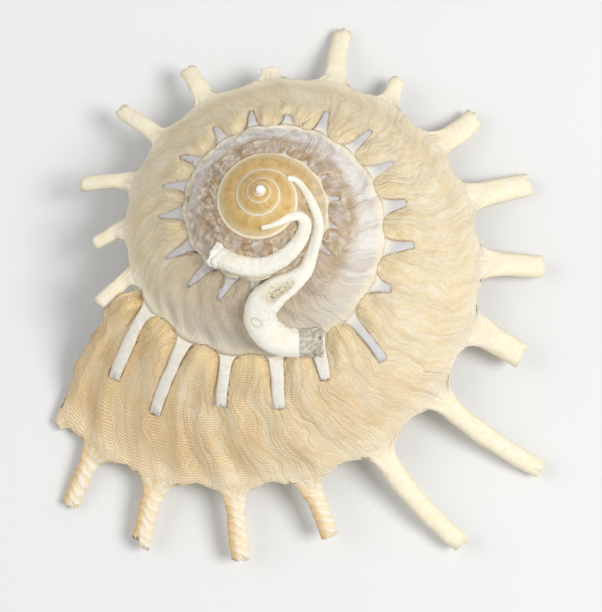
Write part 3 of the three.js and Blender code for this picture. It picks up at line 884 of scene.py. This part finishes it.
def older_whorl_colour(lime, at, thread, bars, ridges):
    patches = lime.cloud(at.skin, 0.30, 3.0)
    inner = lime.tint(LILAC_BROWN, LILAC, patches.ease(0.35, 0.65))
    inner = lime.tint(inner, PALE, ridges * 0.50)
    young = 1 - at.back.ease(1.18, 1.42)
    outer = lime.tint(LILAC_WHITE, LILAC, bars.ease(0.45, 0.60) * 0.55)
    colour = lime.tint(inner, outer, at.share.ease(0.38, 0.62) * (1 - at.back.ease(1.75, 2.1)))
    striped = lime.tint(lime.tint(LILAC_BROWN, TAN, 0.40), PALE_GREY, 0.14 + thread.ease(0.2, 0.8) * 0.72)
    colour = lime.tint(colour, lime.tint(striped, PALE_GREY, at.share.ease(0.45, 0.95) * 0.7), young)
    colour = lime.tint(colour, lime.tint(PALE, GOLD, 0.25), at.share.ease(0.84, 0.97) * 0.85)
    return colour


def honey_colour(lime, at):
    patches = lime.cloud(at.skin, 0.55, 3.0)
    colour = lime.tint(HONEY, HONEY_DARK, patches.ease(0.40, 0.70) * 0.6)
    seam_pale = (1 - at.share.ease(0.0, 0.22)) * 0.3
    colour = lime.tint(colour, SEAM_CREAM, at.share.ease(0.55, 0.80) * 0.35 + seam_pale)
    colour = lime.tint(colour, SEAM_CREAM, at.share.ease(0.84, 0.92) * 0.9)
    return lime.tint(colour, WHITE, at.back.ease(5.9, 6.4))


def spine_colour(lime, at, grain):
    """Free spines are cream, tan along one edge near the lip; laid ones are grey."""
    lip_side = 1 - at.spine.ease(4.4, 4.6)
    drift = lime.cloud(lime.place(at.along, at.side * 1.6, at.spine), 0.5, 2.0)
    slant = at.along * 0.52 + at.side * 0.35 + drift * 1.3
    ribs = (slant * TURN).wave()
    free = lime.tint(PALE, CREAM, grain)
    free = lime.tint(free, TAN, lip_side * (0.22 + 0.60 * at.side.ease(-0.1, 0.8)))
    chalky = 0.42 - 0.36 * at.side.ease(-0.1, 0.7)
    free = lime.tint(free, WHITE, ribs.ease(0.0, 0.9) * (0.10 + lip_side * chalky))
    long_laid = 1 - at.spine.ease(FREE_COUNT + 4.3, FREE_COUNT + 4.7)
    long_colour = lime.tint(PALE_GREY, WHITE, grain * 0.6)
    laid = lime.tint(lime.tint(STONE_GREY, LILAC, grain * 0.3), long_colour, long_laid)
    laid = lime.tint(laid, DARK_GREY, grain * at.back.ease(1.9, 2.1) * 0.7)
    laid = lime.tint(laid, STONE_GREY, at.along.ease(2.5, 6.5) * (1 - long_laid * 0.8) * 0.5)
    laid = lime.tint(laid, PALE, (1 - at.along.ease(0.1, 2.6)) * 0.75 * (1 - at.back.ease(1.6, 2.0)))
    colour = lime.tint(free, laid, at.laid)
    # Painted shade: the inner wall and floor of the hollow at each spine's tip are darkened brown.
    socket = at.along.ease(SOCKET_MARK - 4, SOCKET_MARK + 1)
    return lime.tint(colour, SOCKET_SHADE_BROWN, socket * 0.85), ribs * lip_side * (1 - at.laid)


# %% The whole shell finish
def shell_finish():
    lime = Finish("shell_lime", {"Specular IOR Level": 0.32})
    at = ShellMeasures(lime)
    thread, ridges = threads(lime, at), grit_ridges(lime, at)
    bars, fine_bars = growth_bars(lime, at)
    body = lime.position()
    grain = lime.cloud(body, 900.0, 4.0, 0.65)
    colour = last_whorl_colour(lime, at, thread, bars, fine_bars)
    colour = lime.tint(older_whorl_colour(lime, at, thread, bars, ridges), colour, at.last)
    colour = lime.tint(colour, honey_colour(lime, at), at.honey)
    # Painted shade: a rust-brown and a near-black line along the crease where the older flange and laid
    # spines meet the next whorl, darkest near the lip and broken up by noise.
    gap = 1 - (at.crease + lime.cloud(body, 700.0) * 0.3 - 0.15).ease(0.10, 0.52)
    gap = gap * (0.35 + 0.65 * lime.cloud(body, 150.0, 2.0).ease(0.42, 0.60))
    colour = lime.tint(colour, RUST, gap * at.top * 0.55)
    colour = lime.tint(colour, CREASE_SHADE, gap * at.top * (0.62 - 0.52 * at.back.ease(0.15, 0.5)))
    spines, ribs = spine_colour(lime, at, grain.ease(0.35, 0.65))
    colour = lime.tint(colour, spines, at.on_spine)
    base = lime.tint(lime.tint(PALE, CREAM, bars.ease(0.4, 0.6)), TAN, fine_bars.ease(0.5, 0.7) * 0.3)
    below = at.under.ease(0.5, 1.0) * (1 - at.on_spine)
    colour = lime.tint(colour, base, below)
    inside = at.under.ease(1.4, 1.8)
    colour = lime.tint(colour, lime.tint(HOLLOW_CREAM, WHITE, bars * 0.5), inside)
    colour = lime.tint(colour, lime.tint(colour, PALE, 0.45), grain.ease(0.55, 0.75) * 0.35)
    lime.connect("Base Color", colour)
    matte = 0.60 + 0.16 * at.laid * at.on_spine - 0.22 * at.honey - 0.25 * inside
    lime.connect("Roughness", matte + 0.08 * grain)
    plain = (1 - at.on_spine) * (1 - inside)
    smooth_top = (at.last + (1 - at.last) * (1 - at.back.ease(1.2, 1.45))) * plain
    height = thread * smooth_top * 0.095 + ridges * at.second * (1 - at.share.ease(0.4, 0.7)) * 0.16
    height = height + bars * plain * 0.65 * (1 - at.honey) + fine_bars * plain * 0.20
    height = height + ribs * at.on_spine * 0.07 + grain * (0.05 + 0.05 * at.on_spine) * (1 - inside)
    lime.relief(height, 0.001)
    return lime.material


# %% [markdown]
# ## The tubes' finish
# Worm tube is dense white chalk, a little yellow in its dents, with fine growth rings. The long tube's
# mouth is weathered to rough grey, its worn pit is tan, and a small ring marks where something sat on it.

# %% Tube chalk
CHALK_WHITE, CHALK_WARM = (0.87, 0.84, 0.74), (0.79, 0.70, 0.50)
WEATHERED, WEATHERED_PALE = (0.36, 0.32, 0.24), (0.70, 0.66, 0.56)
PIT_TAN, PIT_DARK = (0.62, 0.52, 0.34), (0.14, 0.10, 0.05)
MOUTH_SHADE_DARK, RING_BROWN = (0.30, 0.26, 0.18), (0.52, 0.46, 0.35)
LONG_WEATHERED_FROM, LONG_RING_AT, SHORT_WEATHERED_FROM, SHORT_RING_AT = 44.6, 34.2, 90.0, -9.0
RING_TURN, RING_RADIUS = 1.45, 0.72


def chalk_finish(name, weathered_from, ring_mark):
    chalk = Finish(name, {"Specular IOR Level": 0.22})
    body = chalk.position()
    length, turn, worn = chalk.measure("length"), chalk.measure("turn"), chalk.measure("worn")
    clouds, grain = chalk.cloud(body, 260.0, 4.0, 0.6), chalk.cloud(body, 1500.0, 3.0, 0.7)
    rings = chalk.cloud(chalk.place(length * 2.4, turn * 0.15), 1.0, 3.0, 0.6)
    yellow = clouds.ease(0.48, 0.72) * 0.55 + rings.ease(0.56, 0.7) * 0.25
    colour = chalk.tint(CHALK_WHITE, CHALK_WARM, yellow)
    mouth = (length + (clouds - 0.5) * 1.2).ease(weathered_from, weathered_from + 0.5)
    speckle = chalk.tint(WEATHERED, WEATHERED_PALE, grain.ease(0.40, 0.68))
    colour = chalk.tint(colour, speckle, mouth * 0.85)
    colour = chalk.tint(colour, chalk.tint(PIT_TAN, PIT_DARK, grain.ease(0.52, 0.62)), worn * 0.85)
    # Painted shade: the wall and floor inside the turned-in mouth are darkened; the weathered speckle mixed
    # in is the tube's own colour.
    inside = chalk.measure("mouth").ease(3.5, 5.0)
    colour = chalk.tint(colour, chalk.tint(MOUTH_SHADE_DARK, WEATHERED, grain.ease(0.35, 0.65)), inside * 0.9)
    away = ((length - ring_mark) ** 2.0 + ((turn - RING_TURN) * 2.9) ** 2.0) ** 0.5
    ring = 1 - abs(away - RING_RADIUS).ease(0.0, 0.22)
    colour = chalk.tint(colour, RING_BROWN, ring * 0.55)
    chalk.connect("Base Color", colour)
    chalk.connect("Roughness", 0.78 + 0.15 * grain)
    grit = grain * (0.05 + 0.16 * mouth + 0.2 * worn)
    chalk.relief(rings * 0.16 + clouds * 0.35 + grit + ring * 0.06, 0.001)
    return chalk.material


finishes = (shell_finish(), chalk_finish("tube_chalk_long", LONG_WEATHERED_FROM, LONG_RING_AT),
            chalk_finish("tube_chalk_short", SHORT_WEATHERED_FROM, SHORT_RING_AT))
for piece, finish in zip((shell, long_tube, short_tube), finishes):
    piece.data.materials.clear()
    piece.data.materials.append(finish)
print("materials:", [m.name for m in bpy.data.materials])

# %% [markdown]
# ## Dressing the frame
# Each finished piece takes the place of its plain node and rides on the one body.

# %% Pieces on the frame
for piece, node, slot in ((shell, "shell", "shell"), (long_tube, "worm_tube_long", "worm_tube"),
                          (short_tube, "worm_tube_short", "worm_tube")):
    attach(piece, "root")
    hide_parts(node)
print("dressed:", shell.name, long_tube.name, short_tube.name)

# %% [markdown]
# ## Floor, light and camera
# A plain pale floor, a large soft lamp above and a weaker one from the side. The camera looks down almost
# along the coil's axis.

# %% Floor and lamps
LAMP_TARGET = (0, 0, 0.02)


def add_floor():
    select_only()
    bpy.ops.mesh.primitive_plane_add(size=3.0, location=(0, 0, 0))
    floor = bpy.context.active_object
    floor.name = "studio_floor"
    paper = Finish("studio_paper", {"Roughness": 0.9, "Specular IOR Level": 0.1,
                                    "Base Color": (0.80, 0.80, 0.79, 1)})
    floor.data.materials.append(paper.material)


def add_lamp(name, location, size, watts):
    bpy.ops.object.light_add(type="AREA", location=location)
    lamp = bpy.context.active_object
    lamp.name = name
    lamp.data.shape = "DISK"
    lamp.data.size = size
    lamp.data.energy = watts
    lamp.rotation_euler = (Vector(LAMP_TARGET) - Vector(location)).to_track_quat("-Z", "Y").to_euler()
    return lamp


add_floor()
add_lamp("soft_key", (0.58, -0.10, 0.72), 0.42, 5.9)
add_lamp("soft_fill", (-0.60, 0.10, 0.62), 0.80, 2.0)
world = bpy.data.worlds.new("studio")
bpy.context.scene.world = world
world.use_nodes = True
world.node_tree.nodes["Background"].inputs["Color"].default_value = (0.97, 0.98, 1.0, 1)
world.node_tree.nodes["Background"].inputs["Strength"].default_value = 0.45
bpy.context.scene.view_settings.view_transform = "Standard"

# %% Camera
VIEW_TURN, VIEW_LEAN = math.radians(72.6), math.radians(17)
VIEW_OFFSET, VIEW_DISTANCE, VIEW_LENS = (7.93, -22.52), 420.0, 119.7


def add_camera():
    """Camera set out in the coil's own frame, then moved with it into the resting place."""
    toward = Vector((-math.cos(VIEW_TURN), math.sin(VIEW_TURN), 0))
    hinge = Vector((0, 0, 1)).cross(toward)
    turn = Matrix.Rotation(-VIEW_LEAN, 3, hinge)
    angles = np.linspace(5.2 - TURN, 5.2, 400)
    rim = on_spiral(np.ones(400), np.full(400, RIM_HEIGHT), angles)
    level = float((rim @ np.array(turn.col[2])).mean())
    place = turn @ Vector((*VIEW_OFFSET, level + VIEW_DISTANCE))
    bpy.ops.object.camera_add()
    camera = bpy.context.active_object
    camera.name = "studio_camera"
    spin = (TO_FRAME.to_3x3() * 1000) @ turn
    camera.matrix_world = Matrix.Translation(TO_FRAME @ place) @ spin.to_4x4()
    camera.data.lens = VIEW_LENS
    camera.data.sensor_width = 36
    camera.data.clip_start = 0.01
    bpy.context.scene.camera = camera
    return camera


camera = add_camera()
print("camera height above the floor:", round(camera.matrix_world.translation.z, 3), "m")
